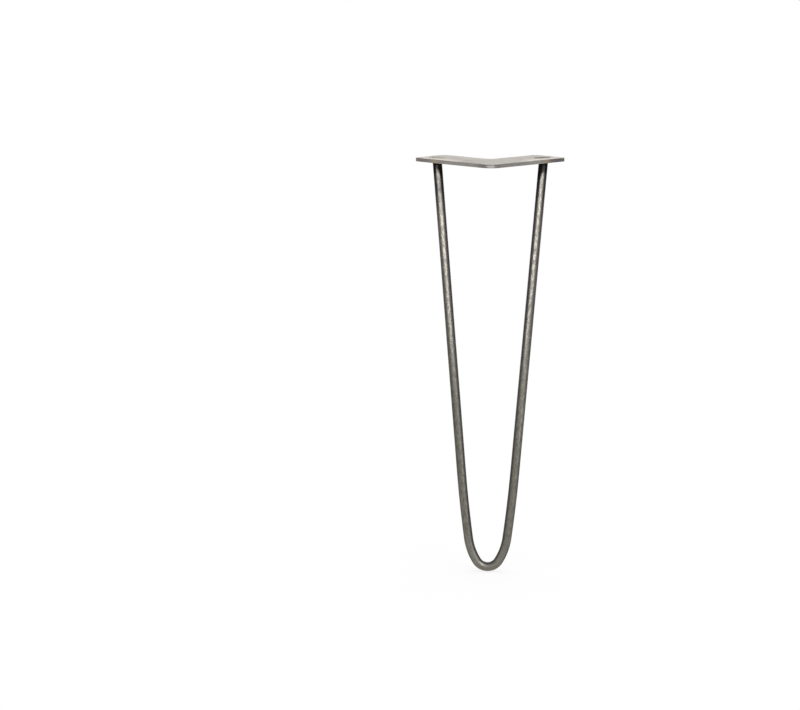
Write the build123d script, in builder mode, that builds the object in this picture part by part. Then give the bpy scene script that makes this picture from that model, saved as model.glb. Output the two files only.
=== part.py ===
"""Hairpin table leg: one round steel bar, bent into a hairpin and welded under an angled mounting plate.

The frame has +Z up. Its origin lies on the plate's table face, where the centre lines of the two arms
cross. The plate's outer corner points to -Y, and the leg is symmetric about the plane X = 0.
"""
import os
from math import asin, atan2, cos, degrees, hypot, radians, sin, tan

from build123d import *

# Overall height, from the table face of the plate down to the floor
leg_height = 450.0

# Mounting plate, an angle cut from flat sheet
plate_thickness = 4.0
arm_length = 118.0  # along the outer edge, from the sharp outer corner to the end of an arm
arm_width = 46.5
arm_angle = 90.0  # between the centre lines of the arms
outer_corner_radius = 13.0
inner_corner_radius = 8.0
arm_end_radius = 6.5
plate_edge_break = 0.4

# Screw slots, one along each arm
slot_width = 10.0
slot_length = 22.0  # end to end
slot_to_arm_end = 19.5  # from the middle of a slot to the end of its arm
slot_offset = 5.0  # from the centre line of an arm to its slot's, towards the outer edge

# Hairpin rod, sizes of bends on the rod's centre line
rod_diameter = 10.0
rod_spacing = 114.0  # between the two ends of the rod, centre to centre, under the plate
rod_edge_gap = 0.5  # from the side of a rod end to the outer edge of its arm
splay_angle = 6.0  # of the hairpin's plane from upright, foot forward
foot_radius = 14.0
foot_turn = 58.0  # angle that the foot bend covers on each side of the lowest point
shoulder_radius = 65.0
shoulder_turn = 24.2
flank_radius = 1400.0

# Weld beads, across the back of each rod end
weld_radius = 2.4
weld_root = 0.4  # from the corner between rod and plate to the middle of the bead, each way
weld_heading = 90.0  # plan direction from the rod to the middle of its bead, 90 is straight back
weld_arc = 60.0  # angle round the rod between the middles of the bead's two ends

# Arms of the plate
half_angle = radians(arm_angle / 2)
half_width = arm_width / 2
corner_run = half_width / tan(half_angle)  # along an arm, from the crossing to a corner
arm_end = arm_length - corner_run


def on_arm(along, across, side):
    """Plan point of the right (1) or left (-1) arm, across measured towards the arm's outer edge."""
    x = along * sin(half_angle) + across * cos(half_angle)
    y = along * cos(half_angle) - across * sin(half_angle)
    return (side * x, y)


# Mounting plate
corners = [
    (on_arm(-corner_run, half_width, 1), outer_corner_radius),
    (on_arm(arm_end, half_width, 1), arm_end_radius),
    (on_arm(arm_end, -half_width, 1), arm_end_radius),
    (on_arm(corner_run, -half_width, 1), inner_corner_radius),
    (on_arm(arm_end, -half_width, -1), arm_end_radius),
    (on_arm(arm_end, half_width, -1), arm_end_radius),
]
corner_points, corner_radii = zip(*corners)
with BuildPart() as mounting_plate:
    with BuildSketch(Plane.XY):
        with BuildLine():
            FilletPolyline(*corner_points, radius=corner_radii, close=True)
        make_face()
        for side in (1, -1):
            with Locations(on_arm(arm_end - slot_to_arm_end, slot_offset, side)):
                SlotOverall(slot_length, slot_width, rotation=90 - side * arm_angle / 2, mode=Mode.SUBTRACT)
    extrude(amount=-plate_thickness)
    flat_faces = mounting_plate.faces().filter_by(Axis.Z)
    rims = [edge for flat in flat_faces for edge in flat.outer_wire().edges()]
    fillet(rims, plate_edge_break)

# Places of the rod ends and of the foot
rod_radius = rod_diameter / 2
splay = radians(splay_angle)
rod_end_x = rod_spacing / 2
rod_end_across = half_width - rod_edge_gap - rod_radius
rod_end_y = (rod_end_x * cos(half_angle) - rod_end_across) / sin(half_angle)
hairpin_drop = leg_height - plate_thickness - rod_radius
foot_y = rod_end_y - hairpin_drop * tan(splay)
hairpin_plane = Plane(
    origin=(0, foot_y, -plate_thickness - hairpin_drop),
    x_dir=(1, 0, 0),
    z_dir=(0, -cos(splay), sin(splay)),
)

# Straight run: the tangent from the rod's end to the circle of the flank bend
shoulder_angle = radians(foot_turn)
flank_angle = radians(foot_turn + shoulder_turn)
flank_centre_x = (foot_radius - shoulder_radius) * sin(shoulder_angle)
flank_centre_x += (shoulder_radius - flank_radius) * sin(flank_angle)
flank_centre_up = foot_radius + (shoulder_radius - foot_radius) * cos(shoulder_angle)
flank_centre_up += (flank_radius - shoulder_radius) * cos(flank_angle)
to_end_x = rod_end_x - flank_centre_x
to_end_up = hairpin_drop / cos(splay) - flank_centre_up
to_end = hypot(to_end_x, to_end_up)
run_angle = atan2(to_end_up, to_end_x) + asin(flank_radius / to_end)
flank_turn = degrees(run_angle - flank_angle)
run_length = (to_end**2 - flank_radius**2) ** 0.5

# Hairpin rod, its ends cut flush to the underside of the plate
underside = Plane.XY.offset(-plate_thickness)
with BuildPart() as hairpin_rod:
    with BuildLine(hairpin_plane) as centre_line:
        foot = JernArc((0, 0), (1, 0), foot_radius, foot_turn)
        shoulder = JernArc(foot @ 1, foot % 1, shoulder_radius, shoulder_turn)
        flank = JernArc(shoulder @ 1, shoulder % 1, flank_radius, flank_turn)
        run_direction = flank % 1
        run = Line(flank @ 1, flank @ 1 + run_direction * (run_length + rod_diameter))
        mirror(about=Plane.YZ)
    with BuildSketch(Plane(origin=run @ 1, z_dir=run_direction)):
        Circle(rod_radius)
    sweep(path=centre_line.wire())
    split(bisect_by=underside, keep=Keep.BOTTOM)

# Weld beads, the left one a mirror image of the right one
weld_plane = Plane(origin=(rod_end_x, rod_end_y, -plate_thickness - weld_root))
rod_end_plane = Plane(origin=(rod_end_x, rod_end_y, -plate_thickness), z_dir=run_direction)
with BuildPart() as weld_right:
    with BuildLine(weld_plane):
        bead = CenterArc((0, 0), rod_radius + weld_root, weld_heading - weld_arc / 2, weld_arc)
    with BuildSketch(Plane(origin=bead @ 0, z_dir=bead % 0)):
        Circle(weld_radius)
    sweep(path=bead)
    with Locations(bead @ 0, bead @ 1):
        Sphere(weld_radius)
    with Locations(rod_end_plane.location):
        Cylinder(rod_radius, rod_spacing, mode=Mode.SUBTRACT)
    split(bisect_by=underside, keep=Keep.BOTTOM)
with BuildPart() as weld_left:
    mirror(weld_right.part, about=Plane.YZ)

os.makedirs("parts", exist_ok=True)
mounting_plate.part.label = "mounting_plate"
export_step(mounting_plate.part, "parts/mounting_plate.step")
hairpin_rod.part.label = "hairpin_rod"
export_step(hairpin_rod.part, "parts/hairpin_rod.step")
weld_left.part.label = "weld_left"
export_step(weld_left.part, "parts/weld_left.step")
weld_right.part.label = "weld_right"
export_step(weld_right.part, "parts/weld_right.step")
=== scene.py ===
"""Dresses the hairpin table leg: a bent raw-steel bar, the angled plate it is welded to, and the welds.

Everything is in metres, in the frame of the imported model: +Z is up, the origin lies on the plate's table
face where the centre lines of its two arms cross, and the leg is symmetric about the plane X = 0.
"""
from contextlib import contextmanager
from math import asin, atan2, cos, hypot, pi, radians, sin, tan

import bmesh
import bpy
from bpy.props import FloatProperty, FloatVectorProperty, IntProperty, PointerProperty
from mathutils import Euler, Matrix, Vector


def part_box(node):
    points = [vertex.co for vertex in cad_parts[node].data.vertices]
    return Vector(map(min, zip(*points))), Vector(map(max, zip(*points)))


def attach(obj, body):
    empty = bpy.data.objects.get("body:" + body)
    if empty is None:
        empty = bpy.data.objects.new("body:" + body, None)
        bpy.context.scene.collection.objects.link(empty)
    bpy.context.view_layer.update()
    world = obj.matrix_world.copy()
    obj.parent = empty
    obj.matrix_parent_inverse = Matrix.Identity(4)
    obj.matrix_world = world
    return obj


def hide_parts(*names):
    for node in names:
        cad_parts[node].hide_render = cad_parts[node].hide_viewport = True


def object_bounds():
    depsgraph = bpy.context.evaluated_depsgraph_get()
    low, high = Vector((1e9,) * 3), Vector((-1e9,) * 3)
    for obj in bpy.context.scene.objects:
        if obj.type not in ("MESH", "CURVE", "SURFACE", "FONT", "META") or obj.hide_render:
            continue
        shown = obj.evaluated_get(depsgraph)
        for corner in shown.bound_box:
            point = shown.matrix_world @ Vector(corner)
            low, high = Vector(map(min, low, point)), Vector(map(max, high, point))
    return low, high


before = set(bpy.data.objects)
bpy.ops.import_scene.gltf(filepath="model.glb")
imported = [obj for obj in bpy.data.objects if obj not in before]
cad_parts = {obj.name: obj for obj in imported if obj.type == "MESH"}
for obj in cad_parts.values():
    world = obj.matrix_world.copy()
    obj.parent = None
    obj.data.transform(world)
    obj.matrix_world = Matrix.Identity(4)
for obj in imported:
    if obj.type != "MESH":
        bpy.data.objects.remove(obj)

bl_info = {
    "name": "Hairpin Table Leg",
    "version": (1, 0, 0),
    "blender": (4, 5, 0),
    "location": "View3D > Sidebar > Hairpin Leg",
    "description": "Bends, cuts and welds a raw-steel hairpin leg, and lights it on a white floor",
    "category": "Add Mesh",
}

CAD_LOW, CAD_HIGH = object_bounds()
PLATE_LOW, PLATE_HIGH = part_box("mounting_plate")
LEG_HEIGHT = CAD_HIGH.z - CAD_LOW.z
PLATE_THICKNESS = PLATE_HIGH.z - PLATE_LOW.z
MERGE_DISTANCE = 1e-6
SAME_PLACE = 1e-5
UP = (0.0, 0.0, 1.0)
WHITE = (1.0, 1.0, 1.0)
WARM_WHITE = (1.0, 0.985, 0.955)


def length(name, default, description):
    """A size in metres that the sidebar shows as a length."""
    return FloatProperty(name=name, description=description, default=default, min=0.0, precision=4,
                         subtype="DISTANCE", unit="LENGTH")


def turn(name, default, description):
    """An angle, given in degrees."""
    return FloatProperty(name=name, description=description, default=radians(default),
                         subtype="ANGLE", unit="ROTATION")


def colour(name, default, description):
    """A linear colour without alpha."""
    return FloatVectorProperty(name=name, description=description, default=default, size=3,
                               min=0.0, max=1.0, subtype="COLOR")


def level(name, default, description):
    """A brightness, where 1 is white."""
    return FloatProperty(name=name, description=description, default=default, min=0.0)


class LEG_PG_plate(bpy.types.PropertyGroup):
    """Sizes and colours of the mounting plate."""

    thickness: length("Thickness", PLATE_THICKNESS, "Thickness of the sheet")
    arm_length: length("Arm Length", 0.118, "Outer edge of an arm, from the sharp outer corner to its end")
    arm_width: length("Arm Width", 0.0465, "Width of each arm")
    arm_angle: turn("Arm Angle", 90.0, "Angle between the two arms")
    outer_radius: length("Outer Corner", 0.013, "Radius of the corner between the outer edges")
    inner_radius: length("Inner Corner", 0.008, "Radius of the corner between the inner edges")
    end_radius: length("Arm End Corners", 0.0065, "Radius of the two corners at the end of an arm")
    edge_break: length("Edge Break", 0.0004, "Rounding where the faces meet the cut edge")
    slot_width: length("Slot Width", 0.010, "Width of a screw slot")
    slot_length: length("Slot Length", 0.022, "Overall length of a screw slot")
    slot_to_end: length("Slot to Arm End", 0.0195, "From the middle of a slot to the end of its arm")
    slot_offset: length("Slot Offset", 0.005, "From an arm's middle to its slot's, towards the outer edge")
    face_colour: colour("Face", (0.50, 0.483, 0.45), "Rolled faces of the sheet")
    edge_colour: colour("Cut Edge", (0.575, 0.553, 0.508), "Edge left by the cutting")
    # Painted highlight on the table face along the outer edge
    face_highlight_colour: colour("Handled Face", (0.82, 0.795, 0.73), "Face by the outer edge, rubbed lighter")
    # Painted shade and light in the slots: the right slot's wall dark, the left slot's wall light
    slot_shade_colour: colour("Slot Wall", (0.34, 0.322, 0.295), "Wall of the right slot, gone dark")
    lit_slot_colour: colour("Clean Slot Wall", (0.78, 0.745, 0.675), "Wall of the left slot")
    # The edge skin also serves as painted shade on the cut edge round the outer corner
    skin_colour: colour("Edge Skin", (0.225, 0.218, 0.211), "Dull skin left on the cut edge")
    # Painted highlight along the rim of the table face
    rim_highlight_colour: colour("Rubbed Rim", (0.88, 0.86, 0.80), "Rim of the table face, rubbed bright")
    stain_colour: colour("Stain", (0.20, 0.165, 0.145), "Brown stain on the cut edge and in pits")
    straw_colour: colour("Straw Tint", (0.60, 0.525, 0.325), "Heat tint on the edge above the bar ends")


class LEG_PG_bar(bpy.types.PropertyGroup):
    """Sizes and colours of the bent bar."""

    diameter: length("Diameter", 0.010, "Diameter of the round bar")
    spacing: length("Spacing", 0.114, "Distance between the bar's two upper ends")
    edge_gap: length("Edge Gap", 0.0005, "From the bar to the outer edge of the plate")
    splay: turn("Splay", 6.0, "Tilt of the hairpin's plane, foot outwards")
    foot_radius: length("Foot Radius", 0.0140, "Centre-line radius of the bend at the foot")
    foot_turn: turn("Foot Turn", 58.0, "Turn of the foot bend on each side of the middle")
    shoulder_radius: length("Shoulder Radius", 0.065, "Radius of the wider bend above the foot")
    shoulder_turn: turn("Shoulder Turn", 24.2, "Turn of the wider bend")
    flank_radius: length("Flank Radius", 1.400, "Radius of the slight bow below the straight run")
    bare_colour: colour("Bare Steel", (0.255, 0.245, 0.214), "Steel where the rolling skin has rubbed off")
    skin_colour: colour("Rolling Skin", (0.160, 0.154, 0.135), "Thin dark skin left by hot rolling")
    # Painted highlight on the front of the bar's upper run
    front_highlight_colour: colour("Rubbed Front", (0.40, 0.383, 0.335), "Front near the plate, rubbed lighter")
    foot_colour: colour("Foot", (0.290, 0.288, 0.252), "Steel rubbed lighter at the foot")
    pit_colour: colour("Pits", (0.045, 0.038, 0.032), "Small dark pits and specks")
    # Painted shade on the bar's inner side and on its sides below the plate; also the tone of the dull spot
    shade_and_skin_colour: colour("Thick Skin", (0.085, 0.078, 0.082), "Thicker skin, kept mostly inside the bend")


class LEG_PG_welds(bpy.types.PropertyGroup):
    """Sizes and colours of the weld beads."""

    bead_radius: length("Bead Radius", 0.0024, "Radius of a bead's round section")
    root: length("Root", 0.0004, "Distance of the bead's centre from the bar and the plate")
    heading: turn("Heading", 90.0, "Plan direction from the bar to the middle of its bead")
    arc: turn("Arc", 60.0, "How far a bead reaches round the bar")
    ripples: IntProperty(name="Ripples", description="Ripples along a bead", default=6, min=2)
    bead_colour: colour("Bead", (0.30, 0.285, 0.26), "Weld metal")
    # Scorch at the welds, partly painted shade under the plate, and the near-black painted shade in the
    # right slot and on the cut edge at the corner
    scorch_and_shade_colour: colour("Scorch", (0.011, 0.0095, 0.009), "Burnt steel next to a bead, and dark smudges")


class LEG_PG_stage(bpy.types.PropertyGroup):
    """Floor, lamps and camera."""

    floor_colour: colour("Floor", (0.92, 0.92, 0.92), "White studio floor")
    strip_level: level("Strip Card", 4.8, "Brightness of the long card in front")
    low_level: level("Low Card", 1.5, "Brightness of the low card at the right")
    key_level: level("Key Lamp", 4.5, "Brightness of the lamp at the upper right")
    top_level: level("Top Lamp", 4.0, "Brightness of the lamp overhead")
    foot_level: level("Foot Shade", 0.12, "Brightness of the small card under the foot")
    screen_level: level("Screen", 0.62, "Brightness of the grey screen over the leg, at its front")
    mat_level: level("Mat", 0.80, "Brightness of the mat and the ring in front of the leg")
    side_level: level("Mat Sides", 0.42, "Brightness of the mat and the ring beside the leg")
    camera_place: FloatVectorProperty(name="Camera Place", description="Where the camera stands", size=3,
                                      default=(-0.023477, -1.8, 0.174292),
                                      subtype="TRANSLATION", unit="LENGTH")
    camera_yaw: turn("Camera Yaw", 2.32883, "Turn of the camera to the left")
    camera_pitch: turn("Camera Pitch", -12.02646, "Tilt of the camera, upwards positive")
    camera_roll: turn("Camera Roll", -0.16913, "Roll of the camera round its own axis")
    camera_lens: FloatProperty(name="Lens", description="Focal length in millimetres",
                               default=76.2490, min=1.0)


# Modelling steps that the pieces share

SELECT_MODES = {"verts": (True, False, False), "edges": (False, True, False)}
ROUND_PROFILE = 0.5
CREASE_ANGLE = radians(40.0)
FACE_WEIGHT = 100


def start_shape(add, **settings):
    """Add one primitive with nothing else selected, and put its place into its mesh."""
    bpy.ops.object.select_all(action="DESELECT")
    add(**settings)
    bpy.ops.object.transform_apply(location=True, rotation=True, scale=True)
    return bpy.context.object


def select_only(shape):
    """Make one object the only selected one, and the active one."""
    bpy.ops.object.select_all(action="DESELECT")
    shape.select_set(True)
    bpy.context.view_layer.objects.active = shape


@contextmanager
def editing(shape):
    """Edit one shape alone, with all of its mesh selected, and leave edit mode at the end."""
    select_only(shape)
    bpy.ops.object.mode_set(mode="EDIT")
    bpy.ops.mesh.select_all(action="SELECT")
    try:
        yield
    finally:
        bpy.ops.object.mode_set(mode="OBJECT")


def pick(shape, kind, test):
    """In edit mode, select only the verts or the edges that pass a test."""
    bpy.context.tool_settings.mesh_select_mode = SELECT_MODES[kind]
    bpy.ops.mesh.select_all(action="DESELECT")
    mesh = bmesh.from_edit_mesh(shape.data)
    chosen = [element for element in getattr(mesh, kind) if test(element)]
    if not chosen:
        raise RuntimeError(f"{shape.name}: no {kind} found to select")
    for element in chosen:
        element.select_set(True)
    mesh.select_flush_mode()
    bmesh.update_edit_mesh(shape.data)


def saw_off(point, outwards, fill=False):
    """In edit mode, cut the selection along a plane and throw away the part that the plane faces."""
    bpy.ops.mesh.bisect(plane_co=point, plane_no=outwards, use_fill=fill, clear_outer=True,
                        threshold=MERGE_DISTANCE)


def round_edges(radius, segments):
    """In edit mode, round the selected edges."""
    bpy.ops.mesh.bevel(offset=radius, segments=segments, profile=ROUND_PROFILE, affect="EDGES",
                       clamp_overlap=False)


def apply_modifier(shape, kind, **settings):
    """Add one modifier to a shape and apply it."""
    bpy.context.view_layer.objects.active = shape
    bpy.ops.object.modifier_add(type=kind)
    modifier = shape.modifiers[-1]
    for name, value in settings.items():
        setattr(modifier, name, value)
    bpy.ops.object.modifier_apply(modifier=modifier.name)


def close_seams(shape):
    """Merge doubled points and turn every face outwards."""
    with editing(shape):
        bpy.ops.mesh.remove_doubles(threshold=MERGE_DISTANCE)
        bpy.ops.mesh.normals_make_consistent(inside=False)


def mirror_over(shape):
    """Add the mirror image over the plane X = 0, and join both halves."""
    apply_modifier(shape, "MIRROR", use_axis=(True, False, False), merge_threshold=MERGE_DISTANCE)
    close_seams(shape)


def smooth_shape(shape):
    """Shade a shape smooth, but keep its flat faces flat up to their rounded edges."""
    select_only(shape)
    bpy.ops.object.shade_smooth_by_angle(angle=CREASE_ANGLE)
    apply_modifier(shape, "WEIGHTED_NORMAL", keep_sharp=True, weight=FACE_WEIGHT)


def hand_over(piece, name, slot, material, *nodes):
    """Name a finished piece, give it its finish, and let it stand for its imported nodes."""
    piece.name = name
    piece.data.name = name
    piece.data.materials.clear()
    piece.data.materials.append(material)
    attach(piece, "root")
    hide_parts(*nodes)


def stands_at(edge, places):
    """Whether an edge stands upright on one of the given plan points."""
    return any(all((vert.co.xy - place).length < SAME_PLACE for vert in edge.verts) for place in places)


# Where things are


def on_arm(plate, along, across, z=0.0):
    """Point on the right arm: along its centre line, and across it towards the outer edge."""
    half_angle = plate.arm_angle / 2
    return Vector((along * sin(half_angle) + across * cos(half_angle),
                   along * cos(half_angle) - across * sin(half_angle), z))


def arm_end(plate):
    """Length of an arm's centre line, from where the two cross to the end of the arm."""
    return plate.arm_length - plate.arm_width / 2 / tan(plate.arm_angle / 2)


def slot_middle(plate):
    """Middle of the right slot, on the table face."""
    return on_arm(plate, arm_end(plate) - plate.slot_to_end, plate.slot_offset)


def bar_end(scene):
    """Middle of the bar's right upper end, which lies along the plate's outer edge but for the gap."""
    plate, bar = scene.leg_plate, scene.leg_bar
    half_angle = plate.arm_angle / 2
    across = plate.arm_width / 2 - bar.edge_gap - bar.diameter / 2
    x = bar.spacing / 2
    return Vector((x, (x * cos(half_angle) - across) / sin(half_angle), -plate.thickness))


class BarLine:
    """Centre line of the bar's right half, in the tilted plane of the hairpin."""

    def __init__(self, scene):
        bar, end = scene.leg_bar, bar_end(scene)
        drop = LEG_HEIGHT - scene.leg_plate.thickness - bar.diameter / 2
        self.up = Vector((0.0, sin(bar.splay), cos(bar.splay)))
        self.out = Vector((0.0, -cos(bar.splay), sin(bar.splay)))
        self.foot = end - self.up * (drop / cos(bar.splay))
        self.foot.x = 0.0
        self.end = (end.x, drop / cos(bar.splay))
        self.arcs = []
        heading, corner = 0.0, (0.0, 0.0)
        for radius, step in ((bar.foot_radius, bar.foot_turn), (bar.shoulder_radius, bar.shoulder_turn),
                             (bar.flank_radius, None)):
            centre = (corner[0] - radius * sin(heading), corner[1] + radius * cos(heading))
            if step is None:
                step = self.heading_to_end(centre, radius) - heading
            heading += step
            self.arcs.append((centre, radius, step, heading))
            corner = (centre[0] + radius * sin(heading), centre[1] - radius * cos(heading))
        self.run_start = corner
        self.run_heading = heading
        self.run_length = hypot(self.end[0] - corner[0], self.end[1] - corner[1])

    def heading_to_end(self, centre, radius):
        """Heading at which a tangent from the last arc meets the bar's end."""
        reach = hypot(self.end[0] - centre[0], self.end[1] - centre[1])
        return atan2(self.end[1] - centre[1], self.end[0] - centre[0]) + asin(radius / reach)

    def reach(self):
        """Length of the centre line from the middle of the foot to the bar's end."""
        return sum(radius * step for _, radius, step, _ in self.arcs) + self.run_length

    def in_space(self, flat):
        """Turn a point of the hairpin's plane into a point of the frame."""
        return self.foot + Vector((flat[0], 0.0, 0.0)) + self.up * flat[1]

    def along(self, point):
        """Place of a surface point on the bar: out from the bend, out of the plane, and along the bar."""
        offset = point - self.foot
        side = -1.0 if offset.x < 0.0 else 1.0
        x, up, out = abs(offset.x), offset.dot(self.up), offset.dot(self.out)
        passed = 0.0
        for centre, radius, step, heading in self.arcs:
            angle = atan2(x - centre[0], centre[1] - up)
            if angle <= heading:
                distance = hypot(x - centre[0], centre[1] - up) - radius
                return distance, out, side * (passed + radius * (angle - heading + step))
            passed += radius * step
        x, up = x - self.run_start[0], up - self.run_start[1]
        ahead = x * cos(self.run_heading) + up * sin(self.run_heading)
        beside = x * sin(self.run_heading) - up * cos(self.run_heading)
        return beside, out, side * (passed + ahead)


# Shader building

MIX_FACTOR, MIX_A, MIX_B, MIX_RESULT = 0, 6, 7, 2
SIDE_BLEND = 0.01


class Wiring:
    """Adds nodes to one tree, and links or sets whatever is handed to their sockets."""

    def __init__(self, tree):
        self.tree = tree

    def feed(self, socket, value):
        """Link a socket to another one, or set it to a plain value; a colour gets full alpha."""
        if isinstance(value, bpy.types.NodeSocket):
            self.tree.links.new(value, socket)
        elif socket.type == "RGBA":
            socket.default_value = (*value, 1.0)
        else:
            socket.default_value = value

    def add(self, kind, inputs=(), **settings):
        """Add a node: settings go to the node itself, inputs to its sockets by name or number."""
        node = self.tree.nodes.new(kind)
        for name, value in settings.items():
            setattr(node, name, value)
        for name, value in dict(inputs).items():
            self.feed(node.inputs[name], value)
        return node

    def math(self, operation, *values):
        """One step of arithmetic."""
        return self.add("ShaderNodeMath", enumerate(values), operation=operation).outputs[0]

    def fold(self, operation, first, *others):
        """The same step of arithmetic with one value after another."""
        for other in others:
            first = self.math(operation, first, other)
        return first

    def times(self, *values):
        """Product of some values."""
        return self.fold("MULTIPLY", *values)

    def plus(self, *values):
        """Sum of some values."""
        return self.fold("ADD", *values)

    def most(self, *values):
        """Largest of some values."""
        return self.fold("MAXIMUM", *values)

    def gap(self, value, place):
        """How far a value is from a place, either way."""
        return self.math("ABSOLUTE", self.math("SUBTRACT", value, place))

    def vector(self, operation, *values):
        """One step of vector arithmetic."""
        node = self.add("ShaderNodeVectorMath", enumerate(values), operation=operation)
        return node.outputs["Value" if operation in {"DISTANCE", "LENGTH"} else "Vector"]

    def split(self, vector):
        """The three parts of a vector."""
        return tuple(self.add("ShaderNodeSeparateXYZ", {0: vector}).outputs)

    def join(self, *parts):
        """A vector from its parts; one that isn't given is zero."""
        return self.add("ShaderNodeCombineXYZ", enumerate(parts)).outputs[0]

    def stretch(self, vector, factor):
        """Draw a pattern out along Z."""
        return self.vector("MULTIPLY", vector, self.join(1.0, 1.0, self.math("DIVIDE", 1.0, factor)))

    def noise(self, vector, scale, detail, roughness):
        """Soft random values about one half."""
        inputs = {"Vector": vector, "Scale": scale, "Detail": detail, "Roughness": roughness}
        return self.add("ShaderNodeTexNoise", inputs).outputs["Fac"]

    def remap(self, value, span, to=(0.0, 1.0)):
        """Ease from one level to another while a value crosses a span, and stay level beyond it."""
        inputs = {"Value": value, "From Min": span[0], "From Max": span[1],
                  "To Min": to[0], "To Max": to[1]}
        return self.add("ShaderNodeMapRange", inputs, interpolation_type="SMOOTHSTEP").outputs["Result"]

    def ease(self, mask, low, high):
        """Ease from one level to another as a mask goes from 0 to 1."""
        return self.remap(mask, (0.0, 1.0), (low, high))

    def by_side(self, x, left, right):
        """One level on the left half of the leg and another on the right half."""
        return self.remap(x, (-SIDE_BLEND, SIDE_BLEND), (left, right))

    def mix(self, factor, first, second):
        """Blend from the first colour to the second."""
        inputs = {MIX_FACTOR: factor, MIX_A: first, MIX_B: second}
        return self.add("ShaderNodeMix", inputs, data_type="RGBA").outputs[MIX_RESULT]

    def bump(self, height, strength, distance):
        """A surface direction that follows a fine relief."""
        inputs = {"Height": height, "Strength": strength, "Distance": distance}
        return self.add("ShaderNodeBump", inputs).outputs[0]

    def place(self, name, inputs):
        """Place a shader group, building it the first time, and return its outputs."""
        group = bpy.data.node_groups.get(name) or SHADER_GROUPS[name](name)
        return self.add("ShaderNodeGroup", inputs, node_tree=group).outputs

    def show(self, surface, output="ShaderNodeOutputMaterial"):
        """Make a shader the surface that the tree shows."""
        self.add(output, {"Surface": surface})


def blank_material(name):
    """A node material without nodes, and its wiring."""
    material = bpy.data.materials.new(name)
    material.use_nodes = True
    material.node_tree.nodes.clear()
    return material, Wiring(material.node_tree)


def new_group(name, inputs, outputs):
    """A shader group with its sockets: inputs come with a default, outputs with a kind."""
    group = bpy.data.node_groups.new(name, "ShaderNodeTree")
    for label, default in inputs.items():
        kind = "NodeSocketFloat" if isinstance(default, float) else "NodeSocketVector"
        group.interface.new_socket(label, in_out="INPUT", socket_type=kind).default_value = default
    for label, kind in outputs.items():
        group.interface.new_socket(label, in_out="OUTPUT", socket_type=kind)
    wire = Wiring(group)
    return group, wire, wire.add("NodeGroupInput").outputs, wire.add("NodeGroupOutput").inputs


# Patterns that the finishes share

ORIGIN = (0.0, 0.0, 0.0)
BAND_SHARE = 0.22
CLOUD_SHARE = 0.12
LINE_CONTRAST = (0.3, 0.7)
BAND_CONTRAST = (0.32, 0.68)
PATCH_CONTRAST = (0.40, 0.60)
PIT_CONTRAST = (0.60, 0.70)
CLOUD_CONTRAST = (0.3, 0.7)
HEAT_WOBBLE = 0.004
HEAT_WOBBLE_DENSITY = 170.0
BURN_FADE = (1.3, 0.7)
TINT_FADE = (1.15, 0.45)
TINT_RINGS = ((0.30, (0.10, 0.10, 0.13)), (0.50, (0.13, 0.11, 0.15)), (0.66, (0.20, 0.13, 0.09)),
              (0.85, (0.38, 0.29, 0.17)), (1.0, (0.44, 0.40, 0.32)))


def rolled_grain(name):
    """Fine lines and broader bands along the rolling direction, which is the vector's Z."""
    group, wire, given, result = new_group(
        name,
        {"Vector": ORIGIN, "Fineness": 1200.0, "Stretch": 20.0},
        {"Line": "NodeSocketFloat", "Band": "NodeSocketFloat"})
    stretched = wire.stretch(given["Vector"], given["Stretch"])
    line = wire.noise(stretched, given["Fineness"], detail=2.0, roughness=0.6)
    broad = wire.times(given["Fineness"], BAND_SHARE)
    band = wire.noise(stretched, broad, detail=3.0, roughness=0.55)
    wire.feed(result["Line"], wire.remap(line, LINE_CONTRAST))
    wire.feed(result["Band"], wire.remap(band, BAND_CONTRAST))
    return group


def scale_skin(name):
    """Patches where the rolling skin has gone, the small pits between them, and broad clouds."""
    group, wire, given, result = new_group(
        name,
        {"Vector": ORIGIN, "Patch Density": 260.0, "Pit Density": 900.0, "Stretch": 2.5},
        {"Patch": "NodeSocketFloat", "Pit": "NodeSocketFloat", "Cloud": "NodeSocketFloat"})
    stretched = wire.stretch(given["Vector"], given["Stretch"])
    patch = wire.noise(stretched, given["Patch Density"], detail=5.0, roughness=0.62)
    pit = wire.noise(given["Vector"], given["Pit Density"], detail=3.0, roughness=0.6)
    broad = wire.times(given["Patch Density"], CLOUD_SHARE)
    cloud = wire.noise(stretched, broad, detail=2.0, roughness=0.5)
    wire.feed(result["Patch"], wire.remap(patch, PATCH_CONTRAST))
    wire.feed(result["Pit"], wire.remap(pit, PIT_CONTRAST))
    wire.feed(result["Cloud"], wire.remap(cloud, CLOUD_CONTRAST))
    return group


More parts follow.
